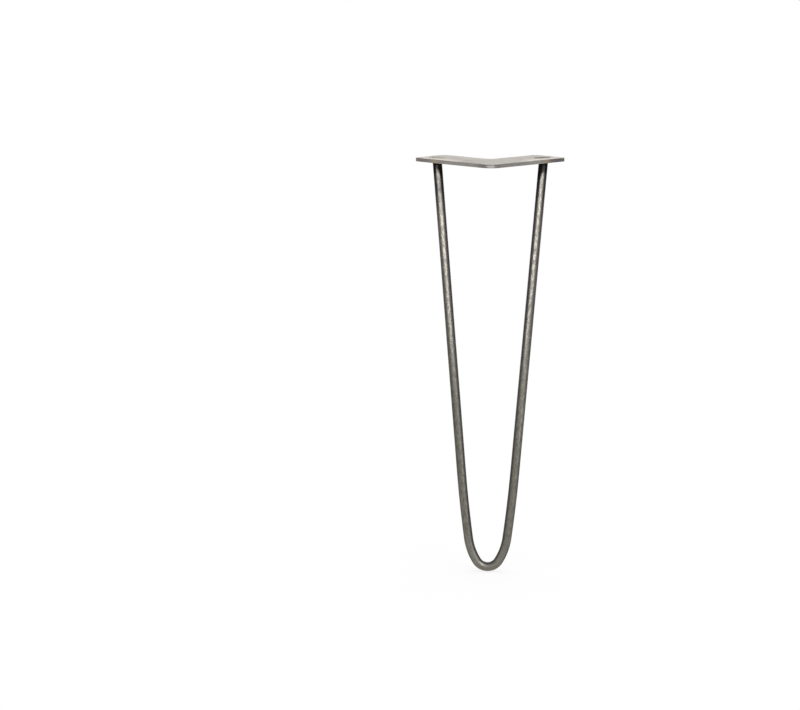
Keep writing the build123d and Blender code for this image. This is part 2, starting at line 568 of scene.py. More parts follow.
def weld_heat(name):
    """Rings of burnt and tinted steel round the two welds, which lie at equal places left and right."""
    group, wire, given, result = new_group(
        name,
        {"Position": ORIGIN, "Weld": ORIGIN, "Burn Reach": 0.006, "Tint Reach": 0.016},
        {"Burn": "NodeSocketFloat", "Tint": "NodeSocketFloat", "Tint Colour": "NodeSocketColor"})
    x, y, z = wire.split(given["Position"])
    one_side = wire.join(wire.math("ABSOLUTE", x), y, z)
    distance = wire.vector("DISTANCE", one_side, given["Weld"])
    blotches = wire.noise(given["Position"], HEAT_WOBBLE_DENSITY, detail=3.0, roughness=0.6)
    wobble = wire.math("MULTIPLY_ADD", blotches, 2 * HEAT_WOBBLE, -HEAT_WOBBLE)
    uneven = wire.plus(distance, wobble)
    burn = wire.math("DIVIDE", uneven, given["Burn Reach"])
    tint = wire.math("DIVIDE", uneven, given["Tint Reach"])
    rings = wire.add("ShaderNodeValToRGB", {"Fac": tint})
    stops = rings.color_ramp.elements
    for position, _ in TINT_RINGS[1:-1]:
        stops.new(position)
    for stop, (position, ring_colour) in zip(stops, TINT_RINGS):
        stop.position = position
        stop.color = (*ring_colour, 1.0)
    wire.feed(result["Burn"], wire.remap(burn, BURN_FADE))
    wire.feed(result["Tint"], wire.remap(tint, TINT_FADE))
    wire.feed(result["Tint Colour"], rings.outputs["Color"])
    return group


SHADER_GROUPS = {"Rolled Grain": rolled_grain, "Scale Skin": scale_skin, "Weld Heat": weld_heat}


def heat_round(wire, position, weld, burn_reach, tint_reach):
    """Weld heat round a place on the right and round its mirror image on the left."""
    return wire.place("Weld Heat", {"Position": position, "Weld": weld, "Burn Reach": burn_reach,
                                    "Tint Reach": tint_reach})


# Finish of the bar: spans are in metres, and pairs of depths or reaches are for the left and the right run

BAR_PLACE = "bar_place"
FRONT_TO_SIDE = (0.00495, 0.0040)
# Painted shade along the inner side of the bar, fading out towards the foot
INNER_SHADE = (-0.0012, -0.0042)
INNER_SHADE_RISE = (0.0, 0.05)
INNER_SHADE_DEPTH = 0.5
FOOT_RUB = (0.045, 0.012)
FOOT_RUB_DEPTH = 0.7
BAR_LINE_DEPTH = 0.22
CLOUD_DEPTH = 0.25
# Painted shade on the sides below the plate
SIDE_SHADE = (0.240, 0.160)
SIDE_SHADE_DEPTH = (0.12, 0.35)
# Painted highlight on the front below the plate
FRONT_HIGHLIGHT = (0.120, 0.035)
FRONT_HIGHLIGHT_DEPTH = 0.20
DULL_SPOT_PLACE = 0.027
DULL_SPOT = (0.010, 0.002)
DULL_SPOT_DEPTH = 0.55
# Weld scorch and tint below the plate, partly painted shade on the sides and the inner side
FRONT_BURN_REACH = (0.0095, 0.0104)
SIDE_BURN_REACH = 0.0040
INNER_BURN = (0.0015, -0.0030)
INNER_BURN_REACH = (0.0035, 0.0070)
BAR_TINT_REACH = 0.054
BAR_TINT_FRONT, BAR_TINT_SIDE = 0.06, 0.62
BAR_PIT_DEPTH = 0.75
BARE_WEDGE = (-0.0006, 0.0010)
BARE_WEDGE_DROP = (0.0020, 0.0040)
BARE_WEDGE_DEPTH = (0.25, 0.17)
SKIN_ROUGHNESS, BARE_ROUGHNESS = 0.34, 0.24
BAR_LINE_ROUGHNESS = 0.06
BURN_ROUGHNESS = 0.2
PATCH_RELIEF, PIT_RELIEF, BAND_RELIEF = 0.5, -1.0, 0.8


class BarSpot:
    """Where a point lies on the bar, as sockets that the parts of its finish read."""

    def __init__(self, wire, reach):
        self.place = wire.add("ShaderNodeAttribute", attribute_name=BAR_PLACE).outputs["Vector"]
        self.position = wire.add("ShaderNodeTexCoord").outputs["Object"]
        self.x = wire.split(self.position)[0]
        self.out, front, along = wire.split(self.place)
        self.side = wire.remap(front, FRONT_TO_SIDE)
        self.from_foot = wire.math("ABSOLUTE", along)
        self.from_end = wire.math("SUBTRACT", reach, self.from_foot)


def bar_skin_and_inner_shade(wire, bar, spot, skin, grain):
    """Rolling skin worn through in patches, painted shade along the inner side that fades towards the foot,
    and rubbed lighter at the foot.
    """
    worn = wire.mix(skin["Patch"], bar.skin_colour, bar.bare_colour)
    rise = wire.remap(spot.from_foot, INNER_SHADE_RISE, (0.0, INNER_SHADE_DEPTH))
    inner_shaded = wire.mix(wire.times(wire.remap(spot.out, INNER_SHADE), rise), worn, bar.shade_and_skin_colour)
    stood_on = wire.remap(spot.from_foot, FOOT_RUB, (0.0, FOOT_RUB_DEPTH))
    steel = wire.mix(stood_on, inner_shaded, bar.foot_colour)
    lined = wire.mix(wire.ease(grain["Line"], 0.0, BAR_LINE_DEPTH), steel, bar.skin_colour)
    return wire.mix(wire.ease(skin["Cloud"], CLOUD_DEPTH, 0.0), lined, bar.skin_colour)


def bar_shade_highlight_and_spot(wire, bar, spot, steel):
    """Upper part of the bar: painted shade on the sides, a painted highlight on the front, and a dull spot
    on the left run.
    """
    near_plate = wire.remap(spot.from_end, SIDE_SHADE)
    # Painted shade on the sides below the plate
    sides = wire.times(spot.side, near_plate, wire.by_side(spot.x, *SIDE_SHADE_DEPTH))
    side_shaded = wire.mix(sides, steel, bar.shade_and_skin_colour)
    # Painted highlight on the front below the plate
    front = wire.times(wire.remap(spot.from_end, FRONT_HIGHLIGHT), wire.ease(spot.side, FRONT_HIGHLIGHT_DEPTH, 0.0))
    rubbed = wire.mix(front, side_shaded, bar.front_highlight_colour)
    dull = wire.remap(wire.gap(spot.from_end, DULL_SPOT_PLACE), DULL_SPOT, (0.0, DULL_SPOT_DEPTH))
    return wire.mix(wire.times(dull, wire.by_side(spot.x, 1.0, 0.0)), rubbed, bar.shade_and_skin_colour)


def bar_heat(wire, scene, spot):
    """Weld scorch and tint at the bar's top, partly painted shade, reaching further down the sides and the
    inner side than down the front.
    """
    inner = wire.times(wire.remap(spot.out, INNER_BURN), wire.by_side(spot.x, *INNER_BURN_REACH))
    sides = wire.ease(spot.side, 0.0, SIDE_BURN_REACH)
    reach = wire.plus(wire.by_side(spot.x, *FRONT_BURN_REACH), sides, inner)
    return heat_round(wire, spot.position, bar_end(scene), reach, BAR_TINT_REACH)


def bar_steel(scene):
    """Hot-rolled bar: a thin dark skin rubbed through in patches, pitted, and scorched at the welds, with
    painted shade on its inner side and sides and a painted highlight on its front.
    """
    bar, scorch = scene.leg_bar, scene.leg_welds.scorch_and_shade_colour
    material, wire = blank_material("Raw Steel Bar")
    spot = BarSpot(wire, BarLine(scene).reach())
    skin = wire.place("Scale Skin", {"Vector": spot.place, "Patch Density": 420.0, "Pit Density": 950.0,
                                     "Stretch": 2.5})
    grain = wire.place("Rolled Grain", {"Vector": spot.place, "Fineness": 1500.0, "Stretch": 18.0})
    heat = bar_heat(wire, scene, spot)
    worn = bar_shade_highlight_and_spot(wire, bar, spot, bar_skin_and_inner_shade(wire, bar, spot, skin, grain))
    # Weld tint, much darker on the sides than on the front: partly painted shade
    tint = wire.times(heat["Tint"], wire.ease(spot.side, BAR_TINT_FRONT, BAR_TINT_SIDE))
    tinted = wire.mix(tint, worn, scorch)
    pitted = wire.mix(wire.times(skin["Pit"], BAR_PIT_DEPTH), tinted, bar.pit_colour)
    outer_front = wire.times(wire.ease(spot.side, 1.0, 0.0), wire.remap(spot.out, BARE_WEDGE))
    below_plate = wire.remap(spot.from_end, BARE_WEDGE_DROP)
    wedge = wire.times(below_plate, outer_front, wire.by_side(spot.x, *BARE_WEDGE_DEPTH))
    burnt = wire.times(heat["Burn"], wire.math("SUBTRACT", 1.0, wedge))
    roughness = wire.plus(wire.ease(skin["Patch"], SKIN_ROUGHNESS, BARE_ROUGHNESS),
                          wire.times(grain["Line"], BAR_LINE_ROUGHNESS),
                          wire.times(heat["Burn"], BURN_ROUGHNESS))
    relief = wire.plus(wire.times(skin["Patch"], PATCH_RELIEF), wire.times(skin["Pit"], PIT_RELIEF),
                       wire.times(grain["Band"], BAND_RELIEF))
    shader = wire.add("ShaderNodeBsdfPrincipled", {
        "Base Color": wire.mix(burnt, pitted, scorch),
        "Metallic": 1.0,
        "Roughness": roughness,
        "Normal": wire.bump(relief, strength=0.5, distance=0.00006),
    })
    wire.show(shader.outputs[0])
    return material


# Finish of the sheet: spans are in metres, but a facing is the height of the surface's direction, from -1
# underneath to 1 on top; pairs of depths are for the left and the right arm

FACE_TO_WALL = (0.75, 0.45)
TABLE_FACING = (0.2, 0.6)
UNDER_FACING = (-0.2, -0.6)
RIM_FACING = (0.25, 0.55)
RIM_END_FACING = (0.985, 0.90)
# Painted highlight on the rim of the table face
RIM_HIGHLIGHT_DEPTH = 0.85
ROLLING_TURN = (0.0, pi / 2, radians(8.0))
BAND_DEPTH = 0.20
DRAG_DEPTH = 0.35
# Painted highlight on the table face along the outer edge
FACE_HIGHLIGHT_ACROSS = (0.003, 0.012)
FACE_HIGHLIGHT_ALONG = (0.024, 0.044)
FACE_HIGHLIGHT_DEPTH = (0.85, 1.0)
# Painted shade and light on the slot walls
SLOT_REACH = (0.0140, 0.0115)
LEFT_SLOT_OUTER_END = (-0.0585, -0.0625)
OUTER_END_DEPTH = 0.9
RIGHT_SLOT_INNER_END = (0.0545, 0.0500)
INNER_END_DEPTH = 0.97
SLOT_METALLIC = 0.2
# Painted shade on the cut edge round the outer corner
LEFT_EDGE_SHADE = (-0.020, -0.003)
RIGHT_EDGE_SHADE = (0.016, 0.004)
FAINT_EDGE_SHADE = (0.044, 0.034)
FAINT_EDGE_SHADE_DEPTH = 0.3
SHADE_SPOT_PLACE = -0.0038
SHADE_SPOT = (0.0045, 0.0010)
SHADE_SPOT_DEPTH = 0.12
SHINE_PLACE = -0.0024
OFF_SHINE = (0.0003, 0.0011)
OFF_SHINE_DEPTH = 0.34
SHINE_SPAN = (0.008, 0.004)
STAIN_START, STAIN_FULL = 0.022, 0.002
STAIN_WOBBLE = 0.006
STAIN_DEPTH = (0.25, 0.6)
SHEET_PIT_DEPTH = 0.25
EDGE_BURN_REACH, EDGE_TINT_REACH = 0.0055, 0.009
STRAW_DEPTH = 0.8
BESIDE_WELD = 0.015
BESIDE_BURN_REACH, BESIDE_TINT_REACH = 0.001, 0.017
FACE_TINT, WALL_TINT = 0.1, 0.5
TINT_DEPTH = (0.35, 1.0)
SHEEN_TINT = (1.0, 0.970, 0.915)
SMOOTH_LINE, ROUGH_LINE = 0.24, 0.36
SHEET_PATCH_ROUGHNESS = 0.05
WALL_ROUGHNESS = 0.10


class SheetSpot:
    """Where a point lies on the plate, as sockets that the parts of its finish read."""

    def __init__(self, wire):
        coordinates = wire.add("ShaderNodeTexCoord").outputs
        self.position = coordinates["Object"]
        self.x, self.y, self.z = wire.split(self.position)
        self.sideways = wire.math("ABSOLUTE", self.x)
        self.on_right = wire.by_side(self.x, 0.0, 1.0)
        self.facing = wire.split(coordinates["Normal"])[2]
        self.wall = wire.remap(wire.math("ABSOLUTE", self.facing), FACE_TO_WALL)


def sheet_faces(wire, plate, spot, grain):
    """Colour of the rolled faces, with a painted highlight on the table side along the outer edge."""
    half_angle = plate.arm_angle / 2
    across = wire.math("SUBTRACT", wire.times(spot.sideways, cos(half_angle)),
                       wire.times(spot.y, sin(half_angle)))
    face_highlight = wire.times(wire.remap(across, FACE_HIGHLIGHT_ACROSS), wire.by_side(spot.x, *FACE_HIGHLIGHT_DEPTH),
                         wire.remap(spot.sideways, FACE_HIGHLIGHT_ALONG), wire.remap(spot.facing, TABLE_FACING))
    rolled = wire.mix(wire.ease(grain["Band"], 0.0, BAND_DEPTH), plate.face_colour, plate.edge_colour)
    return wire.mix(face_highlight, rolled, plate.face_highlight_colour)


def slot_walls(wire, scene, spot):
    """Mask and colour of the slots' walls, in painted shade: dark on the right and at the left slot's outer
    end, light on the rest of the left slot.
    """
    plate = scene.leg_plate
    to_slot = wire.vector("DISTANCE", wire.join(spot.sideways, spot.y), slot_middle(plate))
    outer_end = wire.remap(spot.x, LEFT_SLOT_OUTER_END, (0.0, OUTER_END_DEPTH))
    shaded_part = wire.most(spot.on_right, outer_end)
    inner_end = wire.remap(spot.x, RIGHT_SLOT_INNER_END, (0.0, INNER_END_DEPTH))
    deepest_shade = wire.times(inner_end, spot.on_right)
    tone = wire.mix(shaded_part, plate.lit_slot_colour, plate.slot_shade_colour)
    return wire.remap(to_slot, SLOT_REACH), wire.mix(deepest_shade, tone, scene.leg_welds.scorch_and_shade_colour)


def corner_shade(wire, scene, spot):
    """Mask and colour of painted shade on the cut edge round the outer corner, which dims its shine,
    darkest off its line of shine and in a spot left of the corner.
    """
    faint = wire.remap(spot.x, FAINT_EDGE_SHADE, (0.0, FAINT_EDGE_SHADE_DEPTH))
    right = wire.most(wire.remap(spot.x, RIGHT_EDGE_SHADE), faint)
    mask = wire.times(wire.remap(spot.x, LEFT_EDGE_SHADE), right, spot.wall)
    shade_spot = wire.remap(wire.gap(spot.x, SHADE_SPOT_PLACE), SHADE_SPOT, (0.0, SHADE_SPOT_DEPTH))
    off_shine = wire.remap(wire.gap(spot.z, SHINE_PLACE), OFF_SHINE, (0.0, OFF_SHINE_DEPTH))
    dark = wire.most(shade_spot, wire.times(off_shine, wire.remap(spot.sideways, SHINE_SPAN)))
    return mask, wire.mix(dark, scene.leg_plate.skin_colour, scene.leg_welds.scorch_and_shade_colour)


def end_stain(wire, plate, spot, skin):
    """Mask and colour of the edge near the arm ends, stained on the left and dull on the right."""
    tip = on_arm(plate, arm_end(plate), plate.arm_width / 2)
    uneven = wire.plus(spot.sideways, wire.times(skin["Patch"], STAIN_WOBBLE))
    near_tip = wire.remap(uneven, (tip.x - STAIN_START, tip.x - STAIN_FULL))
    mask = wire.times(near_tip, spot.wall, wire.by_side(spot.x, *STAIN_DEPTH))
    return mask, wire.mix(spot.on_right, plate.stain_colour, plate.skin_colour)


def edge_tints(wire, scene, spot, heat, steel):
    """Straw tint on the edge above the bar ends, and coloured rings beside them."""
    plate = scene.leg_plate
    straw = wire.mix(wire.times(heat["Tint"], spot.wall, STRAW_DEPTH), steel, plate.straw_colour)
    beside = bar_end(scene) + on_arm(plate, BESIDE_WELD, 0.0)
    rings = heat_round(wire, spot.position, beside, BESIDE_BURN_REACH, BESIDE_TINT_REACH)
    depth = wire.times(wire.ease(spot.wall, FACE_TINT, WALL_TINT), wire.by_side(spot.x, *TINT_DEPTH))
    return wire.mix(wire.times(rings["Tint"], depth), straw, rings["Tint Colour"])


def sheet_steel(scene):
    """Rolled sheet with a cut edge: grain on the faces, drag lines down the edge, tints at the welds, and
    painted shade and highlights.
    """
    plate, scorch = scene.leg_plate, scene.leg_welds.scorch_and_shade_colour
    material, wire = blank_material("Raw Steel Sheet")
    spot = SheetSpot(wire)
    turned = wire.add("ShaderNodeMapping", {"Vector": spot.position, "Rotation": ROLLING_TURN}).outputs[0]
    skin = wire.place("Scale Skin", {"Vector": spot.position, "Patch Density": 110.0, "Pit Density": 700.0,
                                     "Stretch": 1.0})
    grain = wire.place("Rolled Grain", {"Vector": turned, "Fineness": 900.0, "Stretch": 40.0})
    drag = wire.place("Rolled Grain", {"Vector": spot.position, "Fineness": 1400.0, "Stretch": 30.0})
    heat = heat_round(wire, spot.position, bar_end(scene), EDGE_BURN_REACH, EDGE_TINT_REACH)
    sawn = wire.mix(wire.ease(drag["Line"], 0.0, DRAG_DEPTH), plate.edge_colour, plate.stain_colour)
    in_slot, slot_tone = slot_walls(wire, scene, spot)
    cuts = wire.mix(in_slot, sawn, slot_tone)
    steel = wire.mix(spot.wall, sheet_faces(wire, plate, spot, grain), cuts)
    for mask, tone in (corner_shade(wire, scene, spot), end_stain(wire, plate, spot, skin)):
        steel = wire.mix(mask, steel, tone)
    pitted = wire.mix(wire.times(skin["Pit"], SHEET_PIT_DEPTH), steel, plate.stain_colour)
    tinted = edge_tints(wire, scene, spot, heat, pitted)
    # Painted highlight on the rim of the table face
    rim_highlight = wire.times(wire.remap(spot.facing, RIM_FACING), wire.remap(spot.facing, RIM_END_FACING))
    rubbed = wire.mix(wire.times(rim_highlight, RIM_HIGHLIGHT_DEPTH), tinted, plate.rim_highlight_colour)
    burnt = wire.times(heat["Burn"], wire.remap(spot.facing, UNDER_FACING))
    roughness = wire.plus(wire.ease(grain["Line"], SMOOTH_LINE, ROUGH_LINE),
                          wire.times(skin["Patch"], SHEET_PATCH_ROUGHNESS),
                          wire.times(spot.wall, WALL_ROUGHNESS))
    lines = wire.mix(spot.wall, grain["Line"], drag["Line"])
    shader = wire.add("ShaderNodeBsdfPrincipled", {
        "Base Color": wire.mix(burnt, rubbed, scorch),
        "Metallic": wire.ease(wire.times(in_slot, spot.wall), 1.0, SLOT_METALLIC),
        "Specular Tint": SHEEN_TINT,
        "Roughness": roughness,
        "Normal": wire.bump(lines, strength=0.35, distance=0.00005),
    })
    wire.show(shader.outputs[0])
    return material


# Finish of the beads

BEAD_BURN_REACH, BEAD_TINT_REACH = 0.004, 0.011
FILM_DEPTH, WORN_FILM_DEPTH = 0.75, 0.15
BEAD_PIT_DEPTH = 0.7
FILM_ROUGHNESS, WORN_FILM_ROUGHNESS = 0.45, 0.28


def weld_metal(scene):
    """Weld bead: bright metal under a brown and blue film, with scorched pits."""
    welds = scene.leg_welds
    material, wire = blank_material("Weld Metal")
    position = wire.add("ShaderNodeTexCoord").outputs["Object"]
    skin = wire.place("Scale Skin", {"Vector": position, "Patch Density": 700.0, "Pit Density": 2600.0,
                                     "Stretch": 1.0})
    heat = heat_round(wire, position, bar_end(scene), BEAD_BURN_REACH, BEAD_TINT_REACH)
    film = wire.ease(skin["Patch"], FILM_DEPTH, WORN_FILM_DEPTH)
    filmed = wire.mix(film, welds.bead_colour, heat["Tint Colour"])
    shader = wire.add("ShaderNodeBsdfPrincipled", {
        "Base Color": wire.mix(wire.times(skin["Pit"], BEAD_PIT_DEPTH), filmed, welds.scorch_and_shade_colour),
        "Metallic": 1.0,
        "Roughness": wire.ease(skin["Patch"], FILM_ROUGHNESS, WORN_FILM_ROUGHNESS),
        "Normal": wire.bump(skin["Patch"], strength=0.4, distance=0.0001),
    })
    wire.show(shader.outputs[0])
    return material


# Pieces


class LEG_OT_cut_plate(bpy.types.Operator):
    """Cut the angled plate from sheet, with its rounded corners and its two screw slots"""

    bl_idname = "leg.cut_plate"
    bl_label = "Cut Mounting Plate"
    bl_options = {"REGISTER", "UNDO"}

    FLAT_ANGLE = radians(1.0)
    RIM_ANGLE = radians(60.0)
    CORNER_SEGMENTS = 14
    RIM_SEGMENTS = 3
    SLOT_SIDES = 64
    CUTTER_TO_SHEET = 3

    def execute(self, context):
        """Make the outline, the corners, the slots and the rims, in that order."""
        plate = context.scene.leg_plate
        sheet = self.cut_outline(plate)
        self.round_corners(sheet, plate)
        for side in (-1.0, 1.0):
            self.cut_slot(sheet, plate, side)
        self.break_edges(sheet, plate)
        smooth_shape(sheet)
        hand_over(sheet, "plate", "plate_steel", sheet_steel(context.scene), "mounting_plate")
        return {"FINISHED"}

    def cut_outline(self, plate):
        """Lay one arm, mitre it at the middle and mirror it, so that the outline is an angle."""
        end, overlap = arm_end(plate), plate.arm_width
        middle = on_arm(plate, (end - overlap) / 2, 0.0, -plate.thickness / 2)
        sheet = start_shape(bpy.ops.mesh.primitive_cube_add, size=1.0, location=middle,
                            rotation=(0.0, 0.0, -plate.arm_angle / 2),
                            scale=(plate.arm_width, end + overlap, plate.thickness))
        with editing(sheet):
            saw_off((0.0, 0.0, 0.0), (-1.0, 0.0, 0.0))
        mirror_over(sheet)
        with editing(sheet):
            bpy.ops.mesh.dissolve_limited(angle_limit=self.FLAT_ANGLE)
        return sheet

    def round_corners(self, sheet, plate):
        """Round the upright edges of the outline, each kind of corner with its own radius."""
        half_width = plate.arm_width / 2
        corner = half_width / sin(plate.arm_angle / 2)
        ends = [on_arm(plate, arm_end(plate), across).xy for across in (-half_width, half_width)]
        ends += [Vector((-end.x, end.y)) for end in ends]
        corners = (([Vector((0.0, -corner))], plate.outer_radius),
                   ([Vector((0.0, corner))], plate.inner_radius),
                   (ends, plate.end_radius))
        with editing(sheet):
            for places, radius in corners:
                pick(sheet, "edges", lambda edge: stands_at(edge, places))
                round_edges(radius, self.CORNER_SEGMENTS)

    def cut_slot(self, sheet, plate, side):
        """Stretch a cylinder into a slot's shape and cut it out of the sheet."""
        half_angle, middle = plate.arm_angle / 2, slot_middle(plate)
        arm = Vector((side * sin(half_angle), cos(half_angle), 0.0))
        place = Vector((side * middle.x, middle.y, -plate.thickness / 2))
        cutter = start_shape(bpy.ops.mesh.primitive_cylinder_add, vertices=self.SLOT_SIDES,
                             radius=plate.slot_width / 2, depth=plate.thickness * self.CUTTER_TO_SHEET,
                             location=place, rotation=(0.0, 0.0, -side * half_angle))
        stretch = arm * ((plate.slot_length - plate.slot_width) / 2)
        with editing(cutter):
            for way in (-1.0, 1.0):
                pick(cutter, "verts", lambda vert: way * (vert.co - place).dot(arm) > SAME_PLACE)
                bpy.ops.transform.translate(value=stretch * way)
        select_only(sheet)
        apply_modifier(sheet, "BOOLEAN", operation="DIFFERENCE", object=cutter, solver="EXACT")
        bpy.data.objects.remove(cutter)

    def break_edges(self, sheet, plate):
        """Round the outer rims of both faces; the rims of the slots stay sharp."""
        slot = slot_middle(plate)
        slot_reach = plate.slot_length / 2 + plate.edge_break

        def on_outer_rim(edge):
            """Whether a level edge is sharp and lies away from the slots."""
            first, second = (vert.co for vert in edge.verts)
            from_slot = Vector((abs(first.x), first.y)) - slot.xy
            is_level = abs(first.z - second.z) < SAME_PLACE
            return is_level and from_slot.length > slot_reach and edge.calc_face_angle(0.0) > self.RIM_ANGLE

        close_seams(sheet)
        with editing(sheet):
            pick(sheet, "edges", on_outer_rim)
            round_edges(plate.edge_break, self.RIM_SEGMENTS)


class LEG_OT_bend_bar(bpy.types.Operator):
    """Bend the round bar into the hairpin and cut its ends flush with the plate"""

    bl_idname = "leg.bend_bar"
    bl_label = "Bend Bar"
    bl_options = {"REGISTER", "UNDO"}

    SIDES = 48
    ARC_STEPS = (22, 14, 8)
    RUN_STEPS = 24

    def execute(self, context):
        """Bend the right half, mirror it, and note each point's place on the bar for the finish."""
        scene = context.scene
        line = BarLine(scene)
        rod = self.bend_half(scene, line)
        mirror_over(rod)
        place = rod.data.attributes.new(BAR_PLACE, "FLOAT_VECTOR", "POINT")
        for vert, entry in zip(rod.data.vertices, place.data):
            entry.vector = line.along(vert.co)
        smooth_shape(rod)
        hand_over(rod, "bar", "rod_steel", bar_steel(scene), "hairpin_rod")
        return {"FINISHED"}

    def bend_half(self, scene, line):
        """Spin the bar's section round each bend, draw it out past the plate and saw it off level."""
        bar = scene.leg_bar
        rod = start_shape(bpy.ops.mesh.primitive_circle_add, vertices=self.SIDES, radius=bar.diameter / 2,
                          location=line.foot, rotation=(0.0, pi / 2, 0.0))
        past_plate = line.run_length + bar.diameter
        ahead = line.in_space((cos(line.run_heading), sin(line.run_heading))) - line.foot
        stride = ahead * (past_plate / self.RUN_STEPS)
        with editing(rod):
            for (centre, _, step, _), steps in zip(line.arcs, self.ARC_STEPS):
                bpy.ops.mesh.spin(steps=steps, angle=-step, center=line.in_space(centre), axis=line.out)
            for _ in range(self.RUN_STEPS):
                bpy.ops.mesh.extrude_region_move(TRANSFORM_OT_translate={"value": stride})
            bpy.ops.mesh.select_all(action="SELECT")
            saw_off((0.0, 0.0, -scene.leg_plate.thickness), UP, fill=True)
        return rod


class LEG_OT_lay_welds(bpy.types.Operator):
    """Lay a rippled bead across the back of each bar end, under the plate"""

    bl_idname = "leg.lay_welds"
    bl_label = "Lay Welds"
    bl_options = {"REGISTER", "UNDO"}

    SECTION_SIDES = 12
    SECTION_SLACK = 1.01
    PINCH = 0.86
    END_PINCH = 0.55
    SMOOTH_LEVELS = 2
    TOE_ANGLE = radians(50.0)

    def execute(self, context):
        """Lay the right bead, and turn a copy of it over to the left."""
        scene = context.scene
        bead = self.lay_bead(scene)
        finish = weld_metal(scene)
        bpy.ops.object.duplicate(linked=False)
        other = context.object
        with editing(other):
            bpy.ops.transform.resize(value=(-1.0, 1.0, 1.0), center_override=(0.0, 0.0, 0.0))
        close_seams(other)
        hand_over(bead, "weld_bead_right", "weld_metal", finish, "weld_right")
        hand_over(other, "weld_bead_left", "weld_metal", finish, "weld_left")
        return {"FINISHED"}

    def lay_bead(self, scene):
        """Spin the bead's section round the bar end, pinch it into ripples and round its ends."""
        welds, plate = scene.leg_welds, scene.leg_plate
        centre = bar_end(scene) - Vector(UP) * welds.root
        reach = scene.leg_bar.diameter / 2 + welds.root
        start = welds.heading - welds.arc / 2
        steps = 2 * welds.ripples
        angles = [start + welds.arc * number / steps for number in range(steps + 1)]
        spokes = [Vector((cos(angle), sin(angle), 0.0)) for angle in angles]
        bead = start_shape(bpy.ops.mesh.primitive_circle_add, vertices=self.SECTION_SIDES,
                           radius=welds.bead_radius, fill_type="NGON", location=centre + spokes[0] * reach,
                           rotation=(pi / 2, 0.0, start))
        with editing(bead):
            bpy.ops.mesh.spin(steps=steps, angle=-welds.arc, center=centre, axis=UP)
            for number, spoke in enumerate(spokes):
                pinch = self.PINCH if number % 2 else 1.0
                if number in (0, steps):
                    pinch = self.END_PINCH
                self.pinch_section(bead, centre + spoke * reach, spoke, welds.bead_radius, pinch)
        close_seams(bead)
        apply_modifier(bead, "SUBSURF", levels=self.SMOOTH_LEVELS, render_levels=self.SMOOTH_LEVELS)
        with editing(bead):
            saw_off((0.0, 0.0, -plate.thickness), UP, fill=True)
        close_seams(bead)
        bpy.ops.object.shade_smooth_by_angle(angle=self.TOE_ANGLE)
        return bead

    def pinch_section(self, bead, middle, spoke, radius, pinch):
        """In edit mode, shrink one section of the bead about its middle; the spoke lies in that section."""
        tangent = Vector((-spoke.y, spoke.x, 0.0))

        def in_section(vert):
            """Whether a point lies in the section's plane, close to its middle."""
            offset = vert.co - middle
            return offset.length < radius * self.SECTION_SLACK and abs(offset.dot(tangent)) < SAME_PLACE

        pick(bead, "verts", in_section)
        bpy.ops.transform.resize(value=(pinch, pinch, pinch), center_override=middle)


def seen_rays(wire):
    """1 for rays that end in the picture, straight, reflected or through something clear; otherwise 0."""
    path = wire.add("ShaderNodeLightPath").outputs
    return wire.most(path["Is Camera Ray"], path["Is Glossy Ray"], path["Is Transmission Ray"])


